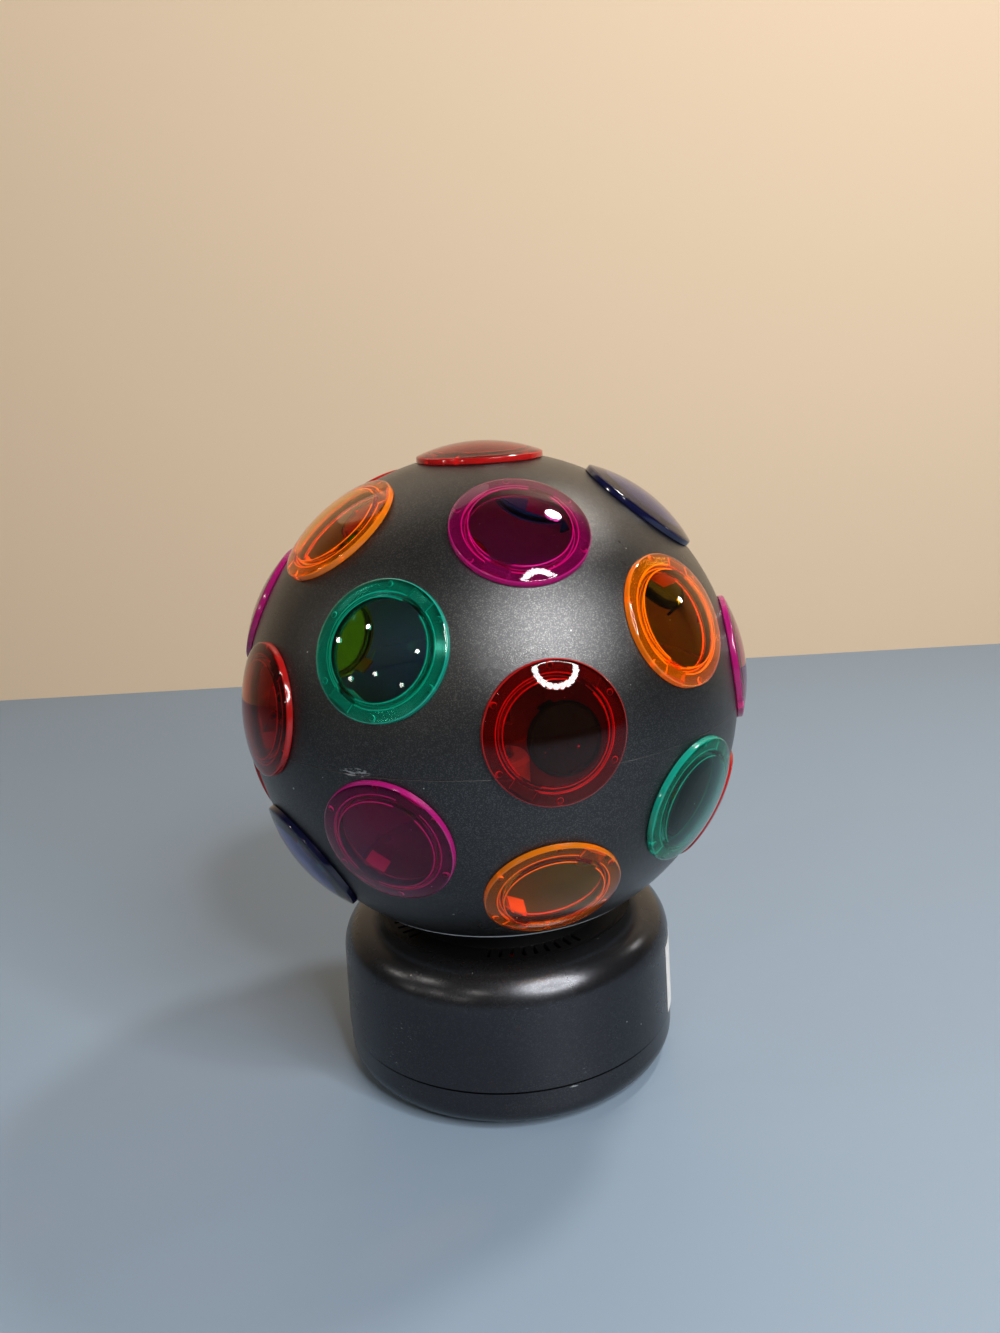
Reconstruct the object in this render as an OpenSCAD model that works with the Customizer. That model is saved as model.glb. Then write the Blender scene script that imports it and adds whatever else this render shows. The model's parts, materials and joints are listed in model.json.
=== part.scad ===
// Table-top disco ball light: a lensed ball that turns on a round base.
// Millimetres, +Z up, origin on the floor at the turning axis, front towards -Y.

/* [Ball] */
// Outer radius of the ball
ball_r = 100; // [96:1:108]
// Wall of the two ball shells
ball_wall = 2.2; // [1.8:0.1:3]
// Radius of the open rim at the bottom of the ball
ball_rim_r = 62; // [58:1:65]
// Gap from the deck of the base up to the ball's rim
rim_gap = 15.5; // [14.5:0.5:20]
// Height of the rim's lip below the ball's floor
rim_lip = 1.6; // [1:0.2:2.4]
// Width of the seam line at the equator
seam_gap = 0.2; // [0.1:0.1:0.5]
// Height of the lap lip above the equator
lap_h = 4; // [3:0.5:6]
// Wall of the lap lip
lap_wall = 2; // [1.4:0.2:2.6]
// Depth of the lap lip's root below the equator
lap_root = 6; // [4:0.5:8]

/* [Lenses] */
// Radius of a lens
lens_r = 25; // [23.5:0.5:26]
// Height of the lens's upright edge
lens_edge = 2.4; // [1.6:0.2:3.2]
// Rise of the dome above that edge
lens_rise = 5; // [4:0.5:7]
// Wall of the dome
lens_wall = 2; // [1.4:0.2:2.4]
// Outer radius of the skirt that goes into the shell
skirt_r = 19.8; // [17:0.2:20.6]
// Wall of the skirt
skirt_wall = 1.5; // [1:0.1:2]
// Width of a snap tab
tab_w = 8; // [6:0.5:10]
// Length of a snap tab below its hook's shoulder
tab_reach = 6; // [3:0.5:8]
// Reach of a snap hook past the skirt
hook_reach = 1; // [0.6:0.1:1.2]
// Length of the pocket under the flange at a snap tab, outwards from the skirt
pocket_l = 3.4; // [2:0.1:3.6]
// Depth of that pocket
pocket_depth = 0.8; // [0.4:0.1:1]
// Angle of the first lens, from the front towards +X
lens_turn = 11.7; // [0:0.1:71]
// Angle of the upper ring of lenses from the top
upper_angle = 39; // [36:0.5:40]
// Angle of the shoulder ring from the top
shoulder_angle = 65.1; // [63:0.1:67]
// Angle of the equator ring from the top
equator_angle = 82.1; // [80:0.1:84]
// Angle of the belly ring from the top
belly_angle = 105; // [103:0.5:107]
// Angle of the lower ring from the top
lower_angle = 119.7; // [118:0.1:121]

/* [Base] */
// Radius of the base at its parting line
base_r = 71.6; // [71:0.2:76]
// Radius of the base where the shoulder starts
base_top_r = 70.8; // [70:0.2:73]
// Radius of the rounded shoulder
shoulder_r = 15.3; // [13:0.1:16]
// Height of the shoulder's top above the floor
base_h = 67.5; // [66:0.5:80]
// Wall of the housing and the cover
base_wall = 2.5; // [2:0.1:3]
// Height of the parting line above the floor
parting_z = 19.3; // [17:0.1:21]
// Width of the parting line
parting_gap = 0.4; // [0.2:0.1:0.8]
// Step in from the housing to the cover at the parting line
parting_step = 0.3; // [0:0.1:0.8]
// Radius of the cover above its rounded edge
cover_r = 71.3; // [70:0.1:72]
// Radius of the cover's rounded lower edge
cover_round = 9.6; // [7:0.1:11]
// Height of the feet below the cover
foot_drop = 1.5; // [1:0.1:3]
// Radius of a foot
foot_r = 6.5; // [5:0.5:7]
// Drop of the dished deck below the shoulder's top
dish_drop = 1.5; // [1:0.1:2.5]
// Width of the flat crest between the shoulder and the dish
crest_w = 1; // [0.6:0.1:2]
// Thickness of the deck
deck_t = 2.5; // [2:0.1:3.5]
// Gap from the pinion's teeth to the guard collar
collar_gap = 3.6; // [2.5:0.1:4]
// Wall of the guard collar
collar_wall = 2.4; // [1.6:0.1:2.8]

/* [Vents] */
// Length of a slot
slot_l = 6.5; // [4:0.5:6.5]
// Gap from the slots to the foot of the dish's slope
slot_gap = 2; // [1:0.1:2]
// Width of a slot
slot_w = 1.6; // [1:0.1:2.2]
// Slots in a group
slots = 9; // [5:1:9]
// Angle between slots
slot_step = 5.7; // [4.5:0.1:5.8]
// Angle of the first group's centre, from the front towards +X
vent_turn = 13.4; // [5:0.1:20]

/* [Drive] */
// Module of the gears
gear_module = 1; // [0.9:0.05:1.05]
// Teeth of the turntable
turntable_teeth = 48; // [44:4:48]
// Teeth of the motor pinion
pinion_teeth = 12; // [12:1:13]
// Height of the turntable's teeth
gear_h = 6; // [4.5:0.5:6.5]
// Radius of the neck that the hub turns on
journal_r = 14; // [12.5:0.5:15]
// Wall of the turntable's hub
hub_wall = 4; // [3:0.2:5]
// Radius of the turntable's plate
plate_r = 44; // [42:0.5:48]
// Thickness of the turntable's plate
plate_t = 2.6; // [2:0.1:3]
// Thickness of the thrust washer
washer_t = 1.5; // [1:0.1:2]
// Radius of the motor can
motor_r = 24.5; // [22:0.5:25]
// Height of the motor
motor_h = 20; // [16:1:24]
// Gap from the deck down to the motor
motor_drop = 6; // [4:0.5:8]
// Distance of the motor's shaft from the middle of its can
motor_offset = 10; // [8:0.5:11]
// Radius of the motor's shaft
shaft_r = 2.5; // [2:0.1:3]

/* [Lamp] */
// Radius of the lamp post
post_r = 8; // [7:0.2:9]
// Radius of the post's bore for the leads
post_bore_r = 5; // [4:0.2:5.4]
// Height of the post above its flange
post_rise = 11; // [10:0.5:30]
// Radius of the flange that keeps the turntable down
flange_r = 17; // [16:0.2:18]
// Radius of the lamp holder
holder_r = 14; // [12:0.5:16]
// Radius of the bulb
bulb_r = 22.5; // [18:0.5:25]
// Radius of the bulb's screw cap
cap_r = 6.9; // [6.5:0.1:7.2]
// Height of the bulb's screw cap
cap_h = 21.5; // [20:0.5:23]
// Wall of the bulb's glass
glass_wall = 0.8; // [0.6:0.1:1.2]

/* [Switch and cord bush] */
// Height of the switch's middle above the floor
switch_z = 37; // [36:0.5:38]
// Width of the rocker
rocker_w = 10.4; // [8:0.2:11]
// Radius of the rocker about its pivot
rocker_r = 9; // [7:0.2:9.4]
// Swing of the rocker from off to on
rocker_swing = 20; // [12:1:24]
// Radius of the cord bush's bore
cord_r = 3.2; // [2.5:0.1:3.6]
// Height of the cord bush above the floor
bush_z = 31; // [30.5:0.5:36]
// Angle of the cord bush, from the front towards +X
bush_turn = 210; // [206:1:230]

/* [Fits] */
// Radial clearance of a part that turns on another
running_clear = 0.06; // [0.02:0.01:0.1]
// Axial play of the turntable
axial_play = 0.3; // [0.15:0.05:0.4]
// Clearance between parts that plug together
seat_clear = 0.1; // [0.05:0.05:0.2]

/* [Hidden] */
$fn = 96;
eps = 0.01;
per_ring = 5;
ring_names = ["upper", "shoulder", "equator", "belly", "lower"];
ring_angles = [upper_angle, shoulder_angle, equator_angle, belly_angle, lower_angle];

function lens_name(ring, k) = str("lens_", ring_names[ring], "_", k + 1);

// Colours
paint = [0.23, 0.25, 0.28];
dark_plastic = [0.10, 0.10, 0.11];
white_plastic = [0.85, 0.85, 0.82];
steel = [0.66, 0.67, 0.69];
brass = [0.78, 0.63, 0.33];
red = [0.72, 0.06, 0.08];
magenta = [0.62, 0.10, 0.55];
orange = [0.95, 0.42, 0.05];
green = [0.05, 0.50, 0.42];
blue = [0.10, 0.14, 0.50];
lens_colours = [
  [magenta, blue, green, red, orange],
  [orange, blue, red, magenta, green],
  [red, magenta, green, orange, red],
  [green, orange, blue, red, magenta],
  [orange, red, green, magenta, blue]
];

// Heights and radii of the base
deck_z = base_h - dish_drop;
deck_under = deck_z - deck_t;
shoulder_z = base_h - shoulder_r;
crest_r = base_top_r - shoulder_r;
dish_r = crest_r - crest_w;
dish_slope = 2.5;
slot_out_r = dish_r - dish_slope - slot_gap;
slot_in_r = slot_out_r - slot_l;
narrow_r = min(base_r, base_top_r, cover_r);
wide_r = max(base_r, base_top_r);
wall_lean = (base_top_r - base_r) / (shoulder_z - parting_z);
function wall_at(z) = base_r + wall_lean * (z - parting_z);
cover_top = parting_z - parting_gap;
lip_h = 2.5;
lip_root = 6;
lip_wall = 2;
lip_top = cover_top + lip_h;
lip_r = min(wall_at(parting_z), wall_at(lip_top)) - base_wall * (1 + abs(wall_lean)) - seat_clear;

// Heights of the ball and the turntable
rim_z = deck_z + rim_gap;
ball_z = rim_z + sqrt(pow(ball_r, 2) - pow(ball_rim_r, 2));
floor_z = rim_z + rim_lip;
floor_in_r = journal_r + hub_wall + 3;
plate_z = floor_z - plate_t;
boss_r = 4;
boss_h = 2.5;
boss_z = plate_z - boss_h;
pinion_over = 0.5;
gear_top = boss_z - 1.5;
gear_z = gear_top - gear_h;
hub_z = deck_z + washer_t + seat_clear;
journal_top = floor_z + axial_play;
collar_top = plate_z - 4.5;

// Lens heights along its own axis, from the ball's middle
lens_seat = sqrt(pow(ball_r + seat_clear / 2, 2) - pow(lens_r, 2));
lens_apex = lens_seat + lens_edge + lens_rise;
dome_r = (pow(lens_r, 2) + pow(lens_rise, 2)) / (2 * lens_rise);
dome_z = lens_apex - dome_r;
lens_hole_r = skirt_r + 2 * seat_clear;
hook_r = skirt_r + hook_reach;
shell_under = sqrt(pow(ball_r - ball_wall, 2) - pow(hook_r, 2));
hook_top = shell_under - 2 * seat_clear;
hook_h = 1.8;
tab_count = 2;
tab_turn = 145;
pocket_side = 0.5;
pocket_top = sqrt(pow(ball_r + seat_clear / 2, 2) - pow(skirt_r, 2)) + pocket_depth;

// Gear proportions
pressure_angle = 25;
addendum = 0.9 * gear_module;
dedendum = 1.2 * gear_module;
gear_backlash = 0.2;
flank_steps = 3;
shaft_pos = gear_module * (turntable_teeth + pinion_teeth) / 2;
motor_turn = vent_turn + 135;
motor_top = deck_under - motor_drop;
can_swing = -70;
pinion_tip = gear_module * pinion_teeth / 2 + addendum;
pinion_hole_r = pinion_tip + 1;
collar_r = shaft_pos + pinion_tip + collar_gap + collar_wall;
ear_r = 4.2;
ear_pos = motor_r + ear_r + 0.3;
ear_turn = 119;
face_plate_t = 1.2;

// Screws
screw_r = 1.5;
screw_head_r = 2.8;
screw_head_h = 1.8;
screw_turns = [for (k = [0:2]) lens_turn + 60 + 120 * k];
screw_pos = plate_r - boss_r - 4;
head_clear = 0.4;
slot_depth = 0.8;
post_inset = 13.8;
post_pos = narrow_r - post_inset;
post_w = 4.5;
post_end = 8;
boss_wall = 1.5;
cover_head_z = 5;
cover_screw_l = 14;
pilot_room = 3;
cover_turns = [for (k = [0:3]) vent_turn + 90 * k];
foot_margin = 1.2;
foot_pos = cover_r - cover_round - foot_r - foot_margin;
foot_h = foot_drop * 2;
foot_edge = 1;
foot_turns = [for (k = [0:3]) vent_turn + 45 + 90 * k];

// Lamp heights, from the flange up
flange_t = 2.6;
post_top = journal_top + flange_t + post_rise;
sleeve_h = 7;
holder_base = 13;
holder_floor = post_top + holder_base;
holder_wall_t = 6;
tip_h = 2.5;
cap_top = holder_floor + tip_h + cap_h;
bulb_neck = 26;
bulb_z = cap_top + bulb_neck;
nut_h = 4.5;
tail_over = 3;
post_tail = deck_under - nut_h - tail_over;
nut_r = 12.4;

// Switch places
switch_w = rocker_w + 2.6;
switch_half_h = rocker_r + 1.3;
bezel_t = 1.5;
bezel_w = 1;
switch_sink = 1.67;
switch_depth = 12;
flat_y = wall_at(switch_z) - switch_sink;
pivot_sink = 2.5;
pivot_y = flat_y - pivot_sink;
pivot_r = 1.2;
pivot_reach = 0.8;
switch_back = flat_y - switch_depth;
terminal_l = 6;
rocker_crown = 3.6;
rocker_back = 3;
rocker_clear = 0.3;
pocket_margin = 1.5;

// Cord bush sizes
bush_neck_r = cord_r + 1.9;
bush_flange_r = bush_neck_r + 1.9;
bush_flange_t = 2;
bush_edge = 0.6;
bush_hook_r = bush_flange_r - 0.4;
bush_hook_t = 2;
bush_lap = 2.3;
bush_walls = [wall_at(bush_z - bush_flange_r), wall_at(bush_z + bush_flange_r)];
bush_seat = max(bush_walls) + seat_clear;
bush_in = min(bush_walls) - base_wall - bush_lap;

// Terminal block sizes
block_w = 24;
block_d = 14;
block_h = 10;
block_inset = 19;
block_y = block_inset - post_pos;
lead_r = 1.1;
lead_z = foot_drop + base_wall + block_h / 2;

// Puts a thing along a direction: a turn from the front towards +X, an angle from the top
module aim(turn, angle = 90) {
  rotate([0, 0, turn - 90]) rotate([0, angle, 0]) children();
}

// Puts a thing upright at a radius and a turn from the front towards +X
function spot(pos, turn) = pos * [sin(turn), -cos(turn), 0];
module place(pos, turn) {
  rotate([0, 0, turn - 90]) translate([pos, 0, 0]) children();
}

// Puts a thing on the axis of the motor's can, which is swung about its shaft
module on_can() {
  place(shaft_pos, motor_turn) rotate([0, 0, can_swing]) translate([motor_offset, 0, 0]) children();
}

// Puts a thing at each of the motor's two ears
module on_ears() {
  on_can() rotate([0, 0, ear_turn]) for (side = [-1, 1]) translate([side * ear_pos, 0, 0]) children();
}

module ring(outer, inner, z0, z1) {
  rotate_extrude() translate([inner, z0]) square([outer - inner, z1 - z0]);
}

function lens_az(ring, k) = lens_turn + 360 / per_ring * (k + (ring % 2) / 2);

// One cutter per lens along its axis, from the ball's middle
module lens_cutters(r, z0, z1) {
  translate([0, 0, ball_z]) {
    translate([0, 0, z0]) cylinder(r = r, h = z1 - z0);
    for (ring = [0:4], k = [0:per_ring - 1])
      aim(lens_az(ring, k), ring_angles[ring]) translate([0, 0, z0]) cylinder(r = r, h = z1 - z0);
  }
}

// Right half of the ball's wall, from one height to another about its middle
module wall_profile(z0, z1) {
  intersection() {
    difference() {
      circle(ball_r);
      circle(ball_r - ball_wall);
    }
    translate([0, z0]) square([ball_r + 1, z1 - z0]);
  }
}

module upper_ball_shell() {
  color(paint) difference() {
    translate([0, 0, ball_z]) rotate_extrude() wall_profile(seam_gap / 2, ball_r + 1);
    lens_cutters(lens_hole_r, ball_r - ball_wall - 10, ball_r + 5);
  }
}

module lap_lip() {
  lap_r = ball_r - ball_wall - seat_clear;
  difference() {
    ring(lap_r, lap_r - lap_wall, ball_z - lap_root, ball_z + lap_h);
    lens_cutters(hook_r + 1, ball_r - ball_wall - 20, ball_r);
  }
}

module lower_ball_shell() {
  floor_y = floor_z - ball_z;
  floor_out_r = sqrt(pow(ball_r - ball_wall / 5, 2) - pow(floor_y, 2));
  color(paint) difference() {
    union() {
      translate([0, 0, ball_z]) rotate_extrude() {
        wall_profile(rim_z - ball_z, -seam_gap / 2);
        translate([floor_in_r, floor_y]) square([floor_out_r - floor_in_r, ball_wall]);
      }
      lap_lip();
    }
    lens_cutters(lens_hole_r, ball_r - ball_wall - 10, ball_r + 5);
    for (turn = screw_turns)
      place(screw_pos, turn) translate([0, 0, floor_z - 1])
        cylinder(r = screw_r + seat_clear, h = ball_wall + 2);
  }
}

// Puts a thing at each of a lens's snap tabs
module on_tabs() {
  for (k = [0:tab_count - 1]) rotate([0, 0, 360 / tab_count * k + tab_turn]) children();
}

// A domed cap on a flange that follows the ball, with a skirt, snap tabs and a pocket beside each tab
module lens_body() {
  skirt_in = skirt_r - skirt_wall;
  skirt_end = shell_under - 0.5;
  difference() {
    intersection() {
      translate([0, 0, dome_z]) sphere(dome_r);
      translate([0, 0, lens_seat - 1]) cylinder(r = lens_r, h = lens_apex);
    }
    sphere(ball_r + seat_clear / 2);
    intersection() {
      translate([0, 0, dome_z]) sphere(dome_r - lens_wall);
      translate([0, 0, lens_seat - 5]) cylinder(r = skirt_in, h = lens_apex);
    }
    on_tabs() translate([skirt_r - skirt_wall / 2, -tab_w / 2 - pocket_side, lens_seat])
      cube([pocket_l + skirt_wall / 2, tab_w + 2 * pocket_side, pocket_top - lens_seat]);
  }
  ring(skirt_r, skirt_in, skirt_end, dome_z + sqrt(pow(dome_r, 2) - pow(skirt_r, 2)) - lens_wall / 2);
  on_tabs() intersection() {
    translate([0, -tab_w / 2, hook_top - tab_reach]) cube([skirt_r + 5, tab_w, tab_reach + 5]);
    rotate_extrude() polygon([
      [skirt_in, skirt_end + 1],
      [skirt_in, hook_top - tab_reach],
      [skirt_r, hook_top - tab_reach],
      [hook_r, hook_top - hook_h / 2],
      [hook_r, hook_top],
      [skirt_r, hook_top],
      [skirt_r, skirt_end + 1]
    ]);
  }
}

module lens(angle, turn, tint) {
  color(tint) translate([0, 0, ball_z]) aim(turn, angle) lens_body();
}

// Involute gear outline: the half angle of a tooth at a radius
function roll(a) = tan(a) * 180 / PI - a;
function base_circle(teeth) = gear_module * teeth / 2 * cos(pressure_angle);
function tooth_half(teeth, r) = 90 / teeth + roll(pressure_angle)
  - gear_backlash / (gear_module * teeth) * 90 / PI
  - roll(acos(min(1, base_circle(teeth) / r)));
function polar(r, a) = [r * cos(a), r * sin(a)];
function tooth(teeth, turn) = let (
  tip = gear_module * teeth / 2 + addendum,
  root = gear_module * teeth / 2 - dedendum,
  start = max(root + eps, base_circle(teeth)),
  radii = [for (i = [0:flank_steps]) start + (tip - start) * i / flank_steps]
) concat(
  [polar(root, turn - tooth_half(teeth, start))],
  [for (r = radii) polar(r, turn - tooth_half(teeth, r))],
  [for (i = [flank_steps:-1:0]) polar(radii[i], turn + tooth_half(teeth, radii[i]))],
  [polar(root, turn + tooth_half(teeth, start))]
);
module gear_outline(teeth, turn) {
  polygon([for (k = [0:teeth - 1]) each tooth(teeth, turn + 360 / teeth * k)]);
}

// Carries the ball: plate, hub and ring gear in one moulding
module turntable() {
  hub_r = journal_r + hub_wall;
  core_r = gear_module * turntable_teeth / 2 - dedendum - 1;
  color(dark_plastic) difference() {
    union() {
      ring(hub_r, journal_r + running_clear, hub_z, floor_z);
      translate([0, 0, gear_z]) linear_extrude(gear_h) difference() {
        gear_outline(turntable_teeth, motor_turn - 90);
        circle(journal_r + hub_wall / 2);
      }
      ring(core_r, journal_r + hub_wall / 2, gear_top - 1, plate_z + 1);
      ring(plate_r, journal_r + hub_wall / 2, plate_z, floor_z);
      for (turn = screw_turns)
        place(screw_pos, turn) translate([0, 0, boss_z]) cylinder(r = boss_r, h = boss_h + 1);
    }
    for (turn = screw_turns)
      place(screw_pos, turn) translate([0, 0, boss_z - 1])
        cylinder(r = screw_r + seat_clear / 2, h = boss_h + plate_t + 2);
  }
}

// A pan-head screw with its head's underside at the origin and its shank downwards
module screw(length) {
  translate([0, 0, -length]) cylinder(r = screw_r, h = length + eps);
  difference() {
    cylinder(r = screw_head_r, h = screw_head_h);
    translate([-screw_head_r, -slot_depth / 2, screw_head_h - slot_depth])
      cube([2 * screw_head_r, slot_depth, slot_depth + 1]);
  }
}

module turntable_screws() {
  color(steel) for (turn = screw_turns)
    place(screw_pos, turn) translate([0, 0, floor_z + ball_wall])
      screw(ball_wall + plate_t + boss_h - 0.2);
}

module thrust_washer() {
  color(white_plastic) ring(journal_r + hub_wall + 2, journal_r + running_clear, deck_z, deck_z + washer_t);
}

// Outline of the housing, shrunk by a wall
module housing_outline(inset, top) {
  polygon([
    [0, parting_z - inset],
    [base_r - inset, parting_z - inset],
    [base_top_r - inset, shoulder_z],
    [crest_r, base_h - inset],
    [crest_r, top],
    [0, top]
  ]);
  translate([crest_r, shoulder_z]) intersection() {
    circle(shoulder_r - inset);
    square(shoulder_r);
  }
}

module housing_shell() {
  rotate_extrude() difference() {
    intersection() {
      housing_outline(0, base_h);
      square([wide_r + 1, base_h + 1]);
    }
    intersection() {
      housing_outline(base_wall, deck_under);
      square([wide_r + 1, base_h + 1]);
    }
    polygon([
      [0, deck_z],
      [dish_r - dish_slope, deck_z],
      [dish_r, base_h],
      [dish_r, base_h + 1],
      [0, base_h + 1]
    ]);
  }
}

module vent_slots() {
  for (group = [0:3], k = [0:slots - 1])
    place(0, vent_turn + 90 * group + slot_step * (k - (slots - 1) / 2))
      translate([slot_in_r, -slot_w / 2, deck_under - 1]) cube([slot_out_r - slot_in_r, slot_w, deck_t + 2]);
}

module switch_pocket(y0, y1, margin) {
  translate([-switch_w / 2 - margin, y0, switch_z - switch_half_h - margin])
    cube([switch_w + 2 * margin, y1 - y0, 2 * (switch_half_h + margin)]);
}

module base_housing() {
  pad_margin = bezel_w + pocket_margin;
  pilot_end = cover_head_z + cover_screw_l + pilot_room;
  color(paint) difference() {
    union() {
      housing_shell();
      ring(collar_r, collar_r - collar_wall, deck_z - 1, collar_top);
      ring(journal_r, post_r, deck_z - 1, journal_top);
      for (turn = cover_turns)
        place(post_pos, turn) translate([0, 0, post_end]) cylinder(r = post_w, h = deck_under - post_end + 1);
      on_ears() translate([0, 0, motor_top]) cylinder(r = ear_r, h = motor_drop + 0.5);
      intersection() {
        switch_pocket(flat_y - base_wall, wide_r, pad_margin + base_wall);
        rotate_extrude() housing_outline(base_wall / 2, base_h);
        translate([0, 0, lip_top + seat_clear]) cylinder(r = wide_r, h = base_h);
      }
    }
    vent_slots();
    translate([0, 0, deck_under - 1]) cylinder(r = post_r + seat_clear, h = journal_top);
    place(shaft_pos, motor_turn) translate([0, 0, deck_under - 1])
      cylinder(r = pinion_hole_r, h = deck_t + 2);
    for (turn = cover_turns)
      place(post_pos, turn) translate([0, 0, post_end - 1])
        cylinder(r = screw_r + seat_clear / 2, h = pilot_end - post_end + 1);
    on_ears() translate([0, 0, motor_top - 1]) cylinder(r = screw_r + seat_clear / 2, h = motor_drop + 1);
    switch_pocket(flat_y, wide_r + 1, pad_margin);
    switch_pocket(flat_y - base_wall - 1, wide_r, seat_clear);
    translate([0, 0, bush_z]) aim(bush_turn) translate([0, 0, bush_in - bush_hook_t])
      cylinder(r = bush_neck_r + seat_clear, h = bush_seat - bush_in + 2 * bush_hook_t);
  }
}

// Outline of the cover's cup, shrunk by a wall
module cover_outline(inset, top) {
  edge_r = cover_r - cover_round;
  edge_z = foot_drop + cover_round;
  polygon([
    [0, foot_drop + inset],
    [edge_r, foot_drop + inset],
    [cover_r - inset, edge_z],
    [base_r - parting_step - inset, top],
    [0, top]
  ]);
  translate([edge_r, edge_z]) intersection() {
    circle(cover_round - inset);
    translate([0, -cover_round]) square(cover_round);
  }
}

module bottom_cover() {
  boss_start = foot_drop + base_wall / 2;
  color(paint) difference() {
    union() {
      rotate_extrude() {
        difference() {
          cover_outline(0, cover_top);
          cover_outline(base_wall, cover_top + 1);
        }
        intersection() {
          cover_outline(0, cover_top);
          translate([lip_r - lip_wall, cover_top - lip_root]) square([lip_wall + base_wall, lip_root]);
        }
        translate([lip_r - lip_wall, cover_top - 1]) square([lip_wall, lip_h + 1]);
      }
      for (turn = cover_turns)
        place(post_pos, turn) translate([0, 0, boss_start])
          cylinder(r = post_w + boss_wall, h = post_end - boss_start);
    }
    for (turn = cover_turns)
      place(post_pos, turn) {
        translate([0, 0, -1]) cylinder(r = screw_head_r + head_clear, h = cover_head_z + 1);
        cylinder(r = screw_r + seat_clear, h = post_end + 1);
      }
    for (turn = foot_turns)
      place(foot_pos, turn) translate([0, 0, -1]) cylinder(r = foot_r + seat_clear, h = foot_h + 1);
  }
}

module cover_screws() {
  color(steel) for (turn = cover_turns)
    place(post_pos, turn) translate([0, 0, cover_head_z]) mirror([0, 0, 1]) screw(cover_screw_l);
}

module rubber_feet() {
  color(dark_plastic) for (turn = foot_turns)
    place(foot_pos, turn) rotate_extrude() polygon([
      [0, 0],
      [foot_r - foot_edge, 0],
      [foot_r, foot_edge],
      [foot_r, foot_h],
      [0, foot_h]
    ]);
}

// Hollow post through the neck, with the flange that keeps the turntable down
module lamp_post() {
  color(steel) {
    ring(post_r, post_bore_r, post_tail, post_top);
    ring(flange_r, post_bore_r, journal_top, journal_top + flange_t);
  }
}

module post_nut() {
  color(steel) translate([0, 0, deck_under - nut_h]) difference() {
    cylinder(r = nut_r, h = nut_h, $fn = 6);
    translate([0, 0, -1]) cylinder(r = post_r + seat_clear / 2, h = nut_h + 2);
  }
}

module lamp_holder() {
  sleeve_r = post_r + 2.5;
  top = cap_top - 1;
  color(white_plastic) rotate_extrude() polygon([
    [post_r + seat_clear / 2, post_top - sleeve_h],
    [sleeve_r, post_top - sleeve_h],
    [sleeve_r, post_top - 1],
    [holder_r, post_top + 2],
    [holder_r, top - 2],
    [holder_r - 1.2, top],
    [cap_r + 0.5, top],
    [cap_r + 0.5, holder_floor],
    [0, holder_floor],
    [0, holder_floor - holder_wall_t],
    [post_bore_r, holder_floor - holder_wall_t],
    [post_bore_r, post_top],
    [post_r + seat_clear / 2, post_top]
  ]);
}

module bulb_cap() {
  rib_pitch = 3;
  color(brass) rotate_extrude() {
    polygon([
      [0, holder_floor],
      [2.4, holder_floor],
      [cap_r - 1.6, holder_floor + tip_h],
      [cap_r - 0.5, holder_floor + tip_h],
      [cap_r - 0.5, cap_top],
      [0, cap_top]
    ]);
    for (z = [holder_floor + tip_h + 2 : rib_pitch : cap_top - 3])
      translate([cap_r - 0.9, z]) circle(0.9);
  }
}

// Outline of the bulb's glass, shrunk by its wall
module bulb_outline(inset) {
  translate([0, bulb_z]) circle(bulb_r - inset);
  polygon([
    [0, cap_top],
    [cap_r - inset, cap_top],
    [cap_r + 0.6 - inset, cap_top + 5],
    [bulb_r * 0.72 - inset, bulb_z - bulb_r * 0.6],
    [0, bulb_z - bulb_r * 0.6]
  ]);
}

module bulb_glass() {
  color([0.9, 0.95, 1, 0.4]) rotate_extrude() intersection() {
    difference() {
      bulb_outline(0);
      bulb_outline(glass_wall);
    }
    translate([0, cap_top]) square([bulb_r + 1, bulb_neck + bulb_r + 1]);
  }
}

// Glass stem with two support wires and the filament between them
module bulb_filament() {
  stem_r = 3;
  stem_top = cap_top + 14;
  stub_z = stem_top - 1.2;
  wire_r = 0.4;
  reach = 7;
  color(steel) {
    translate([0, 0, cap_top]) cylinder(r = stem_r, h = stem_top - cap_top);
    for (side = [-1, 1]) {
      translate([0, 0, stub_z]) rotate([0, side * 90, 0]) cylinder(r = 1.5 * wire_r, h = reach + wire_r);
      translate([side * reach, 0, stub_z]) cylinder(r = wire_r, h = bulb_z - stub_z);
    }
    translate([-reach - wire_r, 0, bulb_z]) rotate([0, 90, 0])
      cylinder(r = 2 * wire_r, h = 2 * (reach + wire_r));
  }
}

module motor_can() {
  bearing_h = 6;
  color(steel) on_can() difference() {
    translate([0, 0, motor_top - motor_h]) rotate_extrude() polygon([
      [0, 0],
      [motor_r - 2, 0],
      [motor_r - 0.5, 1.5],
      [motor_r - 0.5, motor_h * 0.55],
      [motor_r, motor_h * 0.55],
      [motor_r, motor_h - face_plate_t],
      [0, motor_h - face_plate_t]
    ]);
    translate([-motor_offset, 0, motor_top - bearing_h])
      cylinder(r = shaft_r + running_clear, h = bearing_h + 1);
  }
}

module motor_face_plate() {
  color(steel) translate([0, 0, motor_top - face_plate_t]) linear_extrude(face_plate_t) difference() {
    union() {
      on_can() circle(motor_r);
      on_can() rotate(ear_turn) translate([-ear_pos, -ear_r]) square([2 * ear_pos, 2 * ear_r]);
      on_ears() circle(ear_r);
    }
    place(shaft_pos, motor_turn) circle(shaft_r + running_clear);
    on_ears() circle(screw_r + seat_clear);
  }
}

module motor_screws() {
  color(steel) on_ears() translate([0, 0, motor_top - face_plate_t])
    mirror([0, 0, 1]) screw(face_plate_t + motor_drop - 1);
}

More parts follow.
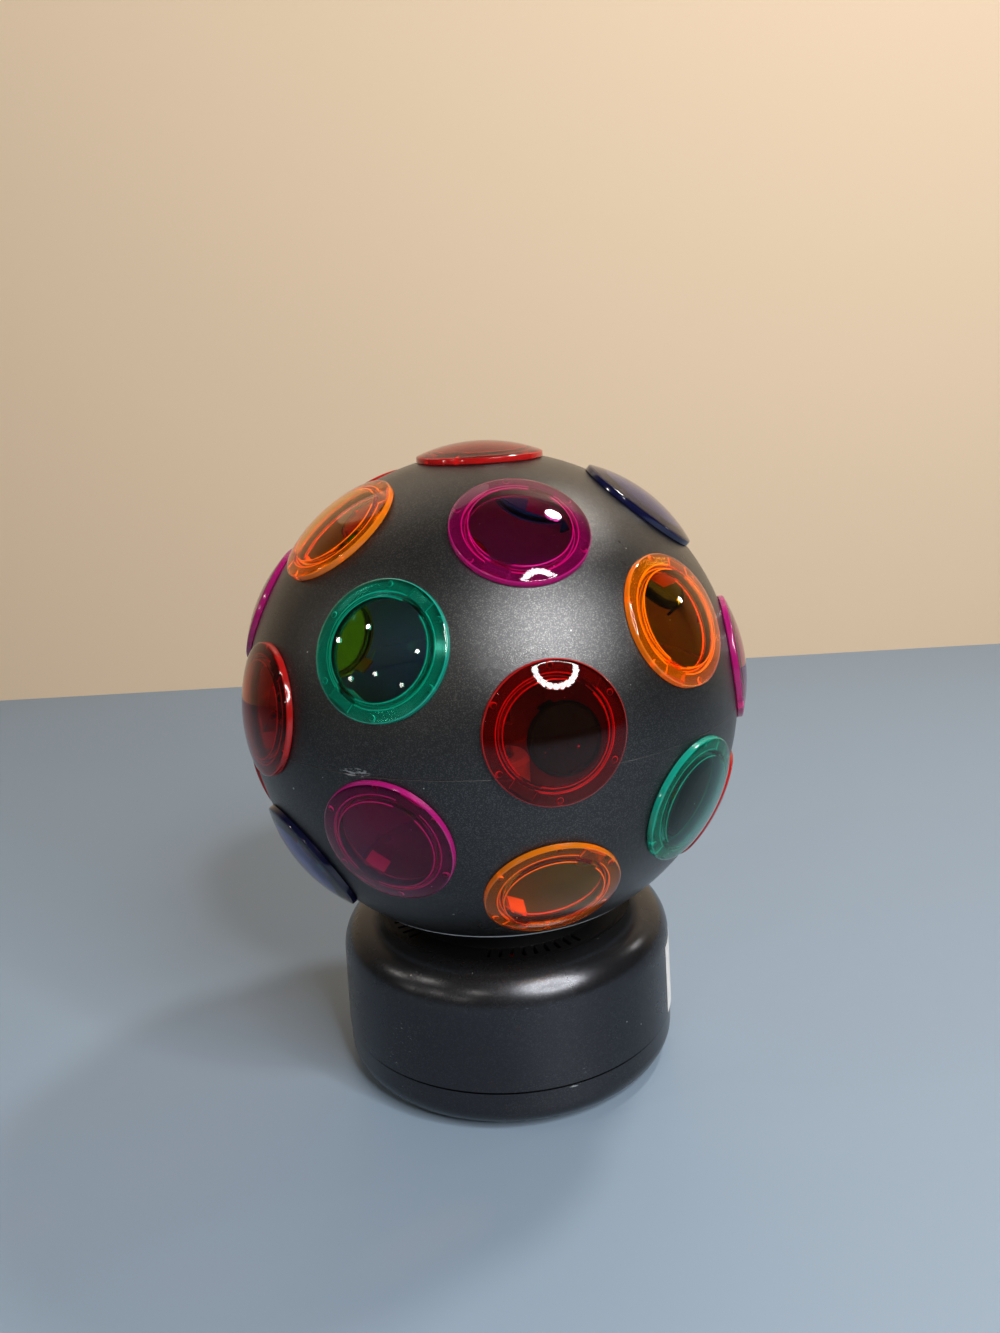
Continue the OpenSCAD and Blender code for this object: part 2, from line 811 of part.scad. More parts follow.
module motor_shaft() {
  shaft_start = motor_top - 5.5;
  shaft_top = gear_top + pinion_over + 0.2;
  color(steel) place(shaft_pos, motor_turn) translate([0, 0, shaft_start])
    cylinder(r = shaft_r, h = shaft_top - shaft_start);
}

module motor_pinion() {
  color(white_plastic) place(shaft_pos, motor_turn) translate([0, 0, gear_z - pinion_over])
    linear_extrude(gear_h + 2 * pinion_over) difference() {
      gear_outline(pinion_teeth, 180 + 180 / pinion_teeth);
      circle(shaft_r + seat_clear / 5);
    }
}

module switch_body() {
  pocket_w = rocker_w + 2 * rocker_clear;
  cavity_y = pivot_y - rocker_r * sin(rocker_swing / 2) - rocker_back - rocker_clear;
  color(dark_plastic) difference() {
    union() {
      switch_pocket(switch_back, flat_y + bezel_t, 0);
      switch_pocket(flat_y, flat_y + bezel_t, bezel_w);
    }
    translate([-pocket_w / 2, cavity_y, switch_z - rocker_r - rocker_clear])
      cube([pocket_w, flat_y + bezel_t + 1 - cavity_y, 2 * (rocker_r + rocker_clear)]);
    translate([-switch_w, pivot_y, switch_z]) rotate([0, 90, 0])
      cylinder(r = pivot_r + running_clear, h = 2 * switch_w);
  }
}

module switch_terminals() {
  color(brass) for (side = [-1, 1])
    translate([-2.4, switch_back - terminal_l, switch_z + side * switch_half_h / 2 - 0.4])
      cube([4.8, terminal_l, 0.8]);
}

// Rests in the off position: its upper half stands proud
module switch_rocker() {
  rise = rocker_r * tan(rocker_swing / 2);
  color(dark_plastic) translate([0, pivot_y, switch_z]) rotate([-rocker_swing / 2, 0, 0]) {
    rotate([90, 0, 90]) translate([0, 0, -rocker_w / 2]) linear_extrude(rocker_w) intersection() {
      circle(rocker_r);
      polygon([
        [-rocker_back, -rocker_r],
        [rocker_crown + rise, -rocker_r],
        [rocker_crown, 0],
        [rocker_crown + rise, rocker_r],
        [-rocker_back, rocker_r]
      ]);
    }
    rotate([0, 90, 0]) cylinder(r = pivot_r, h = rocker_w + 2 * pivot_reach, center = true);
  }
}

module cord_bush() {
  color(dark_plastic) translate([0, 0, bush_z]) aim(bush_turn) rotate_extrude() polygon([
    [cord_r, bush_in - bush_hook_t],
    [bush_hook_r, bush_in - bush_hook_t],
    [bush_hook_r, bush_in],
    [bush_neck_r, bush_in],
    [bush_neck_r, bush_seat],
    [bush_flange_r, bush_seat],
    [bush_flange_r, bush_seat + bush_flange_t - bush_edge],
    [bush_flange_r - bush_edge, bush_seat + bush_flange_t],
    [cord_r, bush_seat + bush_flange_t]
  ]);
}

module terminal_block() {
  poles = 3;
  pole_w = block_w / poles;
  color(white_plastic) translate([-block_w / 2, block_y - block_d / 2, foot_drop + base_wall]) difference() {
    cube([block_w, block_d, block_h]);
    for (k = [0:poles - 1]) {
      translate([pole_w * (k + 0.5), block_d / 2, 3]) cylinder(r = 2, h = block_h);
      if (k > 0) translate([pole_w * k - 0.5, -1, 7]) cube([1, block_d + 2, block_h]);
    }
  }
}

// A round lead swept along points, square to the way it runs
function unit(v) = v / norm(v);
function heading(path, i) = unit(path[min(i + 1, len(path) - 1)] - path[max(i - 1, 0)]);
function curve(p, steps) = [for (i = [0:steps]) let (t = i / steps, s = 1 - t)
  s * s * s * p[0] + 3 * s * s * t * p[1] + 3 * s * t * t * p[2] + t * t * t * p[3]];
module lead(path, sides = 8) {
  last = len(path) - 1;
  points = [for (i = [0:last]) let (
    forward = heading(path, i),
    side = unit(cross(forward, [1, 0, 0])),
    over = cross(forward, side)
  ) for (k = [0:sides - 1])
    path[i] + lead_r * (cos(360 / sides * k) * side + sin(360 / sides * k) * over)];
  walls = [for (i = [0:last - 1], k = [0:sides - 1]) let (
    a = i * sides + k,
    b = i * sides + (k + 1) % sides
  ) each [[a, b, a + sides], [b, b + sides, a + sides]]];
  caps = [[for (k = [sides - 1:-1:0]) k], [for (k = [0:sides - 1]) last * sides + k]];
  polyhedron(points, concat(walls, caps));
}

lead_gap = 0.7;
lead_y = block_y + block_d / 2 + lead_gap;
lamp_side = 1.8;
motor_side = 8;
switch_side = 8;
lead_run = 25;
module lamp_leads() {
  turn_z = deck_under - 20;
  color(red) for (side = [-1, 1])
    lead(concat(
      curve([
        [side * lamp_side, lead_y, lead_z],
        [side * lamp_side, lead_y + lead_run, lead_z],
        [side * lamp_side, 0, lead_z + 5],
        [side * lamp_side, 0, turn_z]
      ], 14),
      [[side * lamp_side, 0, holder_floor - holder_wall_t - lead_gap]]
    ));
}

module motor_leads() {
  can_middle = spot(shaft_pos, motor_turn) + spot(motor_offset, motor_turn + can_swing);
  can_side = can_middle - [0, motor_r, 0];
  color(white_plastic) for (k = [0, 1]) {
    side = (k - 0.5) * 2 * lamp_side;
    start = [motor_side + side, lead_y, lead_z];
    end = can_side + [side, 0, motor_top - motor_h * 0.7];
    lead(curve([start, start + [0, lead_run, 0], end - [0, lead_run, 0], end], 14));
  }
}

module switch_leads() {
  color(blue) for (side = [-1, 1]) {
    end = [0, switch_back - terminal_l - lead_gap, switch_z + side * switch_half_h / 2];
    start = [-switch_side + 1.5 * lead_r * side, lead_y, lead_z];
    lead(curve([start, start + lead_run * [-0.4, 2, 0.16], end - lead_run * [0.88, 1.6, 0], end], 18));
  }
}

upper_ball_shell();
lower_ball_shell();
lens(0, 0, red);  // lens_top
for (ring = [0:4], k = [0:per_ring - 1])
  lens(ring_angles[ring], lens_az(ring, k), lens_colours[ring][k]);
turntable();
turntable_screws();
thrust_washer();
base_housing();
bottom_cover();
cover_screws();
rubber_feet();
lamp_post();
post_nut();
lamp_holder();
bulb_cap();
bulb_glass();
bulb_filament();
motor_can();
motor_face_plate();
motor_screws();
motor_shaft();
motor_pinion();
switch_body();
switch_terminals();
switch_rocker();
cord_bush();
terminal_block();
lamp_leads();
motor_leads();
switch_leads();
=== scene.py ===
import json
import math
from types import SimpleNamespace

import bpy
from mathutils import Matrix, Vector


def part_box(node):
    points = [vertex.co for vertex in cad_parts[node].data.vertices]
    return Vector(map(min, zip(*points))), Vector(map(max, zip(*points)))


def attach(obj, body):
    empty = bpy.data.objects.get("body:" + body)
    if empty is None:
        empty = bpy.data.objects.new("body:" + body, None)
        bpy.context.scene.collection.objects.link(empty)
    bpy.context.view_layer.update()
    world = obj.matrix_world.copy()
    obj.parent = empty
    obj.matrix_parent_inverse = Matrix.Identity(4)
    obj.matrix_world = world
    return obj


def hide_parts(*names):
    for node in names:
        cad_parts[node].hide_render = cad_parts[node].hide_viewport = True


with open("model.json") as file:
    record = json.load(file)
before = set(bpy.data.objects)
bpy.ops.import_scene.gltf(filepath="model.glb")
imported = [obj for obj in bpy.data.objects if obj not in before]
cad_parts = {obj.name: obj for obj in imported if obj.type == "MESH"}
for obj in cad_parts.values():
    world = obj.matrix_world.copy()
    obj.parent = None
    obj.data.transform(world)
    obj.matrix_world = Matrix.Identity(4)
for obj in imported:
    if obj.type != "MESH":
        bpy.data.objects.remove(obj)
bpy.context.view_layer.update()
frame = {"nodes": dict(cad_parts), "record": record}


# Base housing and bottom cover
# Two shallow ABS mouldings that close on each other at a thin parting line. Both are sprayed with the same
# dark metallic paint, smoother and glossier here than on the ball. The dish under the ball is matt, and
# painted nearly black as the shade that the ball casts on it.
nodes = frame["nodes"]


def add_node(tree, kind, inputs, **settings):
    """Puts a shader node in a tree, with its settings and with values or links on its sockets."""
    node = tree.nodes.new("ShaderNode" + kind)
    for setting, value in settings.items():
        setattr(node, setting, value)
    for socket, value in inputs.items():
        if isinstance(value, bpy.types.NodeSocket):
            tree.links.new(value, node.inputs[socket])
        else:
            node.inputs[socket].default_value = value
    return node


def ramp(tree, value, low, high):
    """Turns a value between two bounds into a soft mask from 0 to 1."""
    bounds = {"Value": value, "From Min": low, "From Max": high}
    return add_node(tree, "MapRange", bounds, interpolation_type="SMOOTHSTEP").outputs["Result"]


def spread(tree, mask, low, high):
    """Turns a mask from 0 to 1 into a value between two bounds."""
    return add_node(tree, "MapRange", {"Value": mask, "To Min": low, "To Max": high}).outputs["Result"]


def noise(tree, place, per_m, detail, roughness=0.5):
    """Cloudy noise with about so many clouds to the metre."""
    values = {"Vector": place, "Scale": per_m, "Detail": detail, "Roughness": roughness}
    return add_node(tree, "TexNoise", values).outputs["Fac"]


def stretch(tree, place, scale):
    return add_node(tree, "Mapping", {"Vector": place, "Scale": scale}).outputs["Vector"]


def maths(tree, operation, first, second=0.0):
    return add_node(tree, "Math", {0: first, 1: second}, operation=operation).outputs[0]


def vector_maths(tree, operation, output, first, second=(0.0, 0.0, 0.0)):
    return add_node(tree, "VectorMath", {0: first, 1: second}, operation=operation).outputs[output]


def blend_colours(tree, share, first, second):
    node = add_node(tree, "Mix", {"Factor": share, "A": first, "B": second}, data_type="RGBA")
    return node.outputs["Result"]


def start_group(name, inputs, outputs):
    """An empty shader node group with named sockets, and its input and output nodes."""
    group = bpy.data.node_groups.new(name, "ShaderNodeTree")
    for socket, value in inputs.items():
        kind = "NodeSocketFloat" if isinstance(value, float) else "NodeSocketVector"
        made = group.interface.new_socket(socket, in_out="INPUT", socket_type=kind)
        made.default_value = value
    for socket in outputs:
        group.interface.new_socket(socket, in_out="OUTPUT", socket_type="NodeSocketFloat")
    return group, group.nodes.new("NodeGroupInput"), group.nodes.new("NodeGroupOutput")


def end_group(group, group_out, results):
    for socket, value in results.items():
        group.links.new(value, group_out.inputs[socket])


def place_group(tree, group, **inputs):
    node = tree.nodes.new("ShaderNodeGroup")
    node.node_tree = group
    for socket, value in inputs.items():
        if isinstance(value, bpy.types.NodeSocket):
            tree.links.new(value, node.inputs[socket])
        else:
            node.inputs[socket].default_value = value
    return node


def new_finish(name, **values):
    """A material with one Principled shader. Its even values sit on the shader's own sockets."""
    finish = bpy.data.materials.new(name)
    finish.use_nodes = True
    shader = finish.node_tree.nodes["Principled BSDF"]
    for socket, value in values.items():
        shader.inputs[socket.replace("_", " ")].default_value = value
    return finish, finish.node_tree, shader


def wire(tree, shader, **looks):
    """Links what changes over the surface to the shader's sockets."""
    for socket, value in looks.items():
        tree.links.new(value, shader.inputs[socket.replace("_", " ")])


def spot_on_piece(tree):
    return add_node(tree, "TexCoord", {}).outputs["Object"]


def dress(name, finish):
    """Gives a CAD node its finish."""
    nodes[name].data.materials.clear()
    nodes[name].data.materials.append(finish)


# Aluminium flakes that float at random angles in the paint
flake_group, flake_in, flake_out = start_group(
    "paint_flakes", {"Place": (0.0, 0.0, 0.0), "Flake": 0.0006}, ["Fleck", "Height"])
flake_place = flake_in.outputs["Place"]
flakes_per_m = maths(flake_group, "DIVIDE", 1.0, flake_in.outputs["Flake"])
flake_cells = add_node(flake_group, "TexVoronoi", {"Vector": flake_place, "Scale": flakes_per_m})
flake_draw = add_node(flake_group, "SeparateColor", {"Color": flake_cells.outputs["Color"]})
bright_flakes = ramp(flake_group, flake_draw.outputs["Red"], 0.6, 1.0)
flake_height = noise(flake_group, flake_place, flakes_per_m, 2.0, 0.7)
end_group(flake_group, flake_out, {"Fleck": bright_flakes, "Height": flake_height})

# Dust, small level scuffs and uneven gloss from years of handling. The largest speck is a share of the
# specks' spacing.
largest_speck = 0.07
speck_rarity = 4.0
level_marks = (1.0, 1.0, 3.5)
wear_group, wear_in, wear_out = start_group(
    "handling_wear", {"Place": (0.0, 0.0, 0.0), "Spacing": 0.006}, ["Specks", "Scuffs", "Haze"])
wear_place = wear_in.outputs["Place"]
specks_per_m = maths(wear_group, "DIVIDE", 1.0, wear_in.outputs["Spacing"])
speck_cells = add_node(wear_group, "TexVoronoi", {"Vector": wear_place, "Scale": specks_per_m})
speck_draw = add_node(wear_group, "SeparateColor", {"Color": speck_cells.outputs["Color"]})
speck_chance = maths(wear_group, "POWER", speck_draw.outputs["Green"], speck_rarity)
speck_size = maths(wear_group, "MULTIPLY", speck_chance, largest_speck)
specks = maths(wear_group, "LESS_THAN", speck_cells.outputs["Distance"], speck_size)
scuff_lines = noise(wear_group, stretch(wear_group, wear_place, level_marks), 420.0, 4.0, 0.65)
scuff_patches = noise(wear_group, wear_place, 30.0, 2.0)
scuffs = maths(wear_group, "MULTIPLY", ramp(wear_group, scuff_lines, 0.62, 0.74),
               ramp(wear_group, scuff_patches, 0.64, 0.74))
haze = ramp(wear_group, noise(wear_group, wear_place, 26.0, 5.0, 0.6), 0.3, 0.7)
end_group(wear_group, wear_out, {"Specks": specks, "Scuffs": scuffs, "Haze": haze})

paint_metal = 0.9
paint_wear_spacing = 0.006
scuff_grey = (0.42, 0.42, 0.41, 1.0)
dust_grey = (0.5, 0.48, 0.45, 1.0)
edge_wear_and_highlight_silver = (0.62, 0.61, 0.58, 1.0)
# How far an edge is rounded where its wear and painted highlight start and where they are full, as a cosine
edge_start, edge_full = 0.97, 0.75


def flake_paint(name, colour, fleck_colour, gloss, flake, tilt, edge, edge_r):
    """Metallic paint with flakes, wear, and a brighter colour on the rounded outer edges that is partly edge
    wear and partly a painted highlight.
    Puts out the finish with its tree, shader, place, colour and gloss, for marks on top of the paint."""
    finish, tree, shader = new_finish(name, Metallic=paint_metal, IOR=1.5)
    place = spot_on_piece(tree)
    flakes = place_group(tree, flake_group, Place=place, Flake=flake)
    wear = place_group(tree, wear_group, Place=place, Spacing=paint_wear_spacing)
    painted = blend_colours(tree, flakes.outputs["Fleck"], colour, fleck_colour)
    scuffed = blend_colours(tree, wear.outputs["Scuffs"], painted, scuff_grey)
    dusty = blend_colours(tree, wear.outputs["Specks"], scuffed, dust_grey)
    rounded = add_node(tree, "Bevel", {"Radius": edge_r}, samples=4).outputs["Normal"]
    flat = add_node(tree, "NewGeometry", {}).outputs["Normal"]
    turned = vector_maths(tree, "DOT_PRODUCT", "Value", rounded, flat)
    # Edge wear and painted highlight: rounded edges are lightened towards silver
    edge_wear_and_highlight = maths(tree, "MULTIPLY", ramp(tree, turned, edge_start, edge_full), edge)
    coat = blend_colours(tree, edge_wear_and_highlight, dusty, edge_wear_and_highlight_silver)
    roughness = spread(tree, wear.outputs["Haze"], gloss - 0.03, gloss + 0.05)
    bump = add_node(tree, "Bump", {"Height": flakes.outputs["Height"], "Normal": rounded,
                                   "Strength": tilt, "Distance": flake}).outputs["Normal"]
    wire(tree, shader, Base_Color=coat, Roughness=roughness, Normal=bump)
    return SimpleNamespace(finish=finish, tree=tree, shader=shader, place=place, colour=coat, gloss=roughness)


dabs_per_m = 480.0
bare_grey = (0.4, 0.4, 0.39, 1.0)


def rub_spot(tree, place, colour, spot, reach):
    """Bare plastic that shows in dabs where the joint at a spot was knocked, along a level stretch."""
    aside = vector_maths(tree, "SUBTRACT", "Vector", place, spot)
    level = stretch(tree, aside, level_marks)
    far = vector_maths(tree, "LENGTH", "Value", level)
    dabs = noise(tree, level, dabs_per_m, 2.0)
    bare = maths(tree, "MULTIPLY", ramp(tree, far, reach, reach * 0.6), ramp(tree, dabs, 0.5, 0.58))
    return blend_colours(tree, bare, colour, bare_grey)


base = flake_paint("base_paint", (0.046, 0.047, 0.052, 1.0), (0.067, 0.068, 0.074, 1.0),
                   gloss=0.25, flake=0.0004, tilt=0.05, edge=0.0, edge_r=0.0002)
base_height = add_node(base.tree, "SeparateXYZ", {"Vector": base.place}).outputs["Z"]

# A knock beside the parting line
parting_z = 0.0193
parting_gap = 0.0004
joint_z = parting_z - parting_gap / 2
knock_spot = Vector((0.0234, -0.0677, joint_z - 0.0008))
knocked_base = rub_spot(base.tree, base.place, base.colour, knock_spot, 0.003)

# The dish under the ball, matt, and painted nearly black as the shade that the ball casts on it
dish_r = 0.0545
dish_edge = 0.0006
dish_low = 0.06
dish_painted_shade = (0.022, 0.022, 0.023, 1.0)
dish_rough = 0.55
base_level = vector_maths(base.tree, "MULTIPLY", "Vector", base.place, (1.0, 1.0, 0.0))
base_radius = vector_maths(base.tree, "LENGTH", "Value", base_level)
in_dish = maths(base.tree, "MULTIPLY", ramp(base.tree, base_radius, dish_r + dish_edge, dish_r),
                maths(base.tree, "GREATER_THAN", base_height, dish_low))
# Painted shade: the dish is blended to nearly black
dish_shaded_base = blend_colours(base.tree, in_dish, knocked_base, dish_painted_shade)
dish_gloss = maths(base.tree, "MULTIPLY", in_dish, dish_rough)

# The dark line in the joint
joint_black = (0.004, 0.004, 0.004, 1.0)
joint_reach, joint_full = 0.0006, 0.0004
off_joint = maths(base.tree, "ABSOLUTE", maths(base.tree, "SUBTRACT", base_height, joint_z))
in_joint = ramp(base.tree, off_joint, joint_reach, joint_full)
wire(base.tree, base.shader,
     Base_Color=blend_colours(base.tree, in_joint, dish_shaded_base, joint_black),
     Roughness=maths(base.tree, "MAXIMUM", base.gloss, dish_gloss),
     Metallic=maths(base.tree, "MAXIMUM", in_joint, paint_metal))
dress("base_housing", base.finish)
dress("bottom_cover", base.finish)


# Rubber feet and cover screws
# Four pads of black rubber are glued under the cover, and four zinc-plated screws go up through it into
# posts of the housing.
cloud_per_m = 90.0
cloud_dark = 0.8
cloud_swing = 0.08
skin_strength = 0.35


def moulded_finish(name, colour, roughness, grain, depth):
    """Solid plastic or rubber with the fine skin that a spark-eroded mould leaves."""
    finish, tree, shader = new_finish(name)
    place = spot_on_piece(tree)
    skin = noise(tree, place, 1.0 / grain, 3.0)
    cloud = noise(tree, place, cloud_per_m, 3.0)
    darker = tuple(part * cloud_dark for part in colour[:3]) + (1.0,)
    mottled = blend_colours(tree, ramp(tree, cloud, 0.3, 0.7), darker, colour)
    rough = spread(tree, cloud, roughness - cloud_swing, roughness + cloud_swing)
    bump = add_node(tree, "Bump", {"Height": skin, "Strength": skin_strength, "Distance": depth})
    wire(tree, shader, Base_Color=mottled, Roughness=rough, Normal=bump.outputs["Normal"])
    return finish


drawn_lines = (1.0, 1.0, 14.0)


def metal_finish(name, colour, roughness, stain):
    """Bare or plated metal with drawn lines and a few dull spots."""
    finish, tree, shader = new_finish(name, Metallic=1.0)
    place = spot_on_piece(tree)
    drawn = noise(tree, stretch(tree, place, drawn_lines), 260.0, 4.0)
    dull = ramp(tree, noise(tree, place, 220.0, 3.0), 0.55, 0.72)
    wire(tree, shader, Base_Color=blend_colours(tree, dull, colour, stain),
         Roughness=spread(tree, drawn, roughness - 0.1, roughness + 0.14))
    return finish


black_rubber = moulded_finish("black_rubber", (0.018, 0.018, 0.018, 1.0), 0.72, 0.0006, 0.00005)
zinc_steel = metal_finish("zinc_steel", (0.58, 0.59, 0.61, 1.0), 0.34, (0.4, 0.4, 0.4, 1.0))
dress("rubber_feet", black_rubber)
dress("cover_screws", zinc_steel)


# Cord bush, rocker switch and wiring
# The bush is soft black rubber in the back wall, beside a snap-in switch with a ribbed black rocker. Inside,
# soft insulated leads run from a white terminal block to the lamp, the motor and the switch.
black_plastic = moulded_finish("black_plastic", (0.022, 0.022, 0.024, 1.0), 0.42, 0.0004, 0.00003)
gloss_black = moulded_finish("rocker_black", (0.014, 0.014, 0.015, 1.0), 0.24, 0.0004, 0.00001)
natural_plastic = moulded_finish("natural_plastic", (0.74, 0.73, 0.68, 1.0), 0.4, 0.0005, 0.00003)
plated_brass = metal_finish("plated_brass", (0.68, 0.5, 0.2, 1.0), 0.3, (0.42, 0.3, 0.13, 1.0))
dress("cord_bush", black_rubber)
dress("switch_body", black_plastic)
dress("switch_rocker", gloss_black)
dress("switch_terminals", plated_brass)
dress("terminal_block", natural_plastic)
lead_colours = {"lamp_leads": (0.5, 0.025, 0.02, 1.0), "motor_leads": (0.72, 0.71, 0.68, 1.0),
                "switch_leads": (0.03, 0.07, 0.38, 1.0)}
for lead, colour in lead_colours.items():
    dress(lead, moulded_finish(lead + "_insulation", colour, 0.45, 0.0005, 0.00002))


# Motor and pinion
# A flat geared motor with a plated can hangs under the deck on two screws. Its pinion is natural nylon and
# turns the ring gear of the turntable.
for part in ("motor_can", "motor_face_plate", "motor_screws", "motor_shaft"):
    dress(part, zinc_steel)
dress("motor_pinion", natural_plastic)


# Lamp post, holder and bulb
# A plated tube with a nut below and a flange above carries the white lamp holder, and the small clear bulb
# screws into it with a brass cap.
for part in ("lamp_post", "post_nut", "bulb_filament"):
    dress(part, zinc_steel)
dress("lamp_holder", natural_plastic)
dress("bulb_cap", plated_brass)
clear_glass, glass_tree, glass_shader = new_finish(
    "clear_glass", Base_Color=(0.97, 0.98, 1.0, 1.0), Roughness=0.02, IOR=1.5, Transmission_Weight=1.0)
thin_wall = add_node(glass_tree, "BsdfTransparent", {"Color": (0.94, 0.95, 0.96, 1.0)})
straight = add_node(glass_tree, "LightPath", {}).outputs["Is Camera Ray"]
bulb_wall = add_node(glass_tree, "MixShader", {0: straight, 1: thin_wall.outputs["BSDF"],
                                               2: glass_shader.outputs["BSDF"]})
glass_tree.links.new(bulb_wall.outputs["Shader"], glass_tree.nodes["Material Output"].inputs["Surface"])
dress("bulb_glass", clear_glass)


# Thrust washer, turntable and its screws
# The dark moulded turntable carries the ball and turns on the neck of the base, on a slippery white washer.
# Three screws go up through it into the ball.
dress("thrust_washer", natural_plastic)
dress("turntable", moulded_finish("turntable_grey", (0.07, 0.07, 0.07, 1.0), 0.42, 0.0004, 0.00003))
dress("turntable_screws", zinc_steel)


# Ball shells
# Two thin plastic half shells meet at the equator, where the join shows as a fine line. Outside and in the
# lens holes they have a satin metallic paint with visible flakes, with a painted highlight as a bright band
# along the bottom rim.
# Inside they are bare white plastic, a darker grey over the lower half.
ball_r = 0.1
ball_wall = 0.0022
equator_gap = 0.0001
ball_middle = Vector((0.0, 0.0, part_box("upper_ball_shell")[0].z - equator_gap))
ball = flake_paint("ball_paint", (0.045, 0.045, 0.046, 1.0), (0.1, 0.098, 0.096, 1.0),
                   gloss=0.3, flake=0.00028, tilt=0.3, edge=0.3, edge_r=0.0003)
ball_height = add_node(ball.tree, "SeparateXYZ", {"Vector": ball.place}).outputs["Z"]

knock_turn = math.radians(-29.0)
knock_side = Vector((ball_r * math.sin(knock_turn), -ball_r * math.cos(knock_turn), 0.0008))
knocked_ball = rub_spot(ball.tree, ball.place, ball.colour, ball_middle + knock_side, 0.007)

rim_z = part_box("lower_ball_shell")[0].z
# Painted highlight: a bright, non-metallic band along the bottom rim, where its edge catches the light
rim_painted_highlight = (0.8, 0.79, 0.77, 1.0)
on_rim_highlight = ramp(ball.tree, ball_height, rim_z + 0.0014, rim_z + 0.0009)
outer_colour = blend_colours(ball.tree, on_rim_highlight, knocked_ball, rim_painted_highlight)

# Inside: bare white above, a darker grey towards the bottom
bare_white = (0.74, 0.71, 0.66, 1.0)
lower_inside_grey = (0.19, 0.18, 0.165, 1.0)
upper_part = ramp(ball.tree, ball_height, ball_middle.z - 0.03, ball_middle.z + 0.02)
inner_colour = blend_colours(ball.tree, upper_part, lower_inside_grey, bare_white)
from_middle = vector_maths(ball.tree, "DISTANCE", "Value", ball.place, ball_middle)
sprayed = ramp(ball.tree, from_middle, ball_r - ball_wall * 0.96, ball_r - ball_wall * 0.88)
painted_part = maths(ball.tree, "MULTIPLY", sprayed, maths(ball.tree, "SUBTRACT", 1.0, on_rim_highlight))
wire(ball.tree, ball.shader,
     Base_Color=blend_colours(ball.tree, sprayed, inner_colour, outer_colour),
     Metallic=maths(ball.tree, "MULTIPLY", painted_part, paint_metal))
dress("upper_ball_shell", ball.finish)
dress("lower_ball_shell", ball.finish)


# Lens mouldings
# Each lens is one shot of clear tinted acrylic: a shallow dome, a flange that lies on the ball, a short skirt
# in the hole and two sprung arms that snap under the shell. The cut edges gather light and glow, which is
# painted here as bright colour on the edges.
node_slots = {part["node"]: part["material_slot"] for part in frame["record"]["subparts"]}
lens_r = 0.025
lens_edge = 0.0024
lens_rise = 0.005
lens_wall = 0.002
skirt_r = 0.0198
skirt_in = 0.0183
tab_w = 0.008
tab_reach = 0.006
hook_r = 0.0208
hook_t = 0.0009
seat_r = ball_r + 0.00005
lens_seat = math.sqrt(seat_r ** 2 - lens_r ** 2)
rim_top = lens_seat + lens_edge
lens_apex = rim_top + lens_rise
dome_r = (lens_r ** 2 + lens_rise ** 2) / (2 * lens_rise)
dome_z = lens_apex - dome_r
shell_under = math.sqrt((ball_r - ball_wall) ** 2 - hook_r ** 2)
skirt_end = shell_under - 0.0005
hook_top = shell_under - 0.0002
edge_round = 0.0004
line_w = 0.00045
end_cut = 0.0003
turns = 120
weld = 0.000002


def arc(centre_z, radius, r_from, r_to, steps):
    """Points of a section along a circle whose middle lies on the turning axis."""
    rs = [r_from + (r_to - r_from) * k / steps for k in range(steps + 1)]
    return [(r, centre_z + math.sqrt(radius ** 2 - r ** 2)) for r in rs]


def draw_line(name, points):
    """A chain of edges in the XZ plane, drawn point by point. Leaves the piece in edit mode."""
    bpy.ops.object.select_all(action="DESELECT")
    bpy.ops.mesh.primitive_plane_add(size=0.001)
    piece = bpy.context.object
    piece.name = name
    bpy.ops.object.mode_set(mode="EDIT")
    bpy.ops.mesh.merge(type="CENTER")
    bpy.ops.transform.translate(value=(points[0][0], 0.0, points[0][1]))
    for (r0, z0), (r1, z1) in zip(points, points[1:]):
        bpy.ops.mesh.extrude_vertices_move(TRANSFORM_OT_translate={"value": (r1 - r0, 0.0, z1 - z0)})
    bpy.ops.mesh.select_all(action="SELECT")
    return piece


def close_up():
    """Welds the piece in edit mode, turns its faces outwards and leaves edit mode."""
    bpy.ops.mesh.select_all(action="SELECT")
    bpy.ops.mesh.remove_doubles(threshold=weld)
    bpy.ops.mesh.normals_make_consistent(inside=False)
    bpy.ops.object.mode_set(mode="OBJECT")


def cut_or_join(piece, tool, operation):
    change = piece.modifiers.new(operation.lower(), "BOOLEAN")
    change.operation = operation
    change.solver = "EXACT"
    change.object = tool
    bpy.ops.object.select_all(action="DESELECT")
    bpy.context.view_layer.objects.active = piece
    bpy.ops.object.modifier_apply(modifier=change.name)
    bpy.data.objects.remove(tool)


# The section from the top of the dome, round the rim, along the seat and the skirt, to under the dome
round_r = lens_r - edge_round
round_z = rim_top - edge_round
section = arc(dome_z, dome_r, 0.0, round_r, 26)
for angle in (30, 60, 90):
    bend = math.radians(angle)
    section += [(round_r + edge_round * math.sin(bend), round_z + edge_round * math.cos(bend))]
section += [(lens_r, lens_seat + edge_round)]
section += arc(0.0, seat_r, round_r, skirt_r + line_w, 8)
section += arc(0.0, seat_r, skirt_r, skirt_r, 1)[:1]
section += [(skirt_r, skirt_end + end_cut), (skirt_r - end_cut, skirt_end)]
section += [(skirt_in + end_cut, skirt_end), (skirt_in, skirt_end + end_cut)]
section += arc(dome_z, dome_r - lens_wall, skirt_in, skirt_in - line_w, 1)
section += arc(dome_z, dome_r - lens_wall, skirt_in - line_w, 0.0, 20)[1:]
lens = draw_line("lens_master", section)
bpy.ops.mesh.spin(steps=turns, angle=math.tau, center=(0.0, 0.0, 0.0), axis=(0.0, 0.0, 1.0))
close_up()

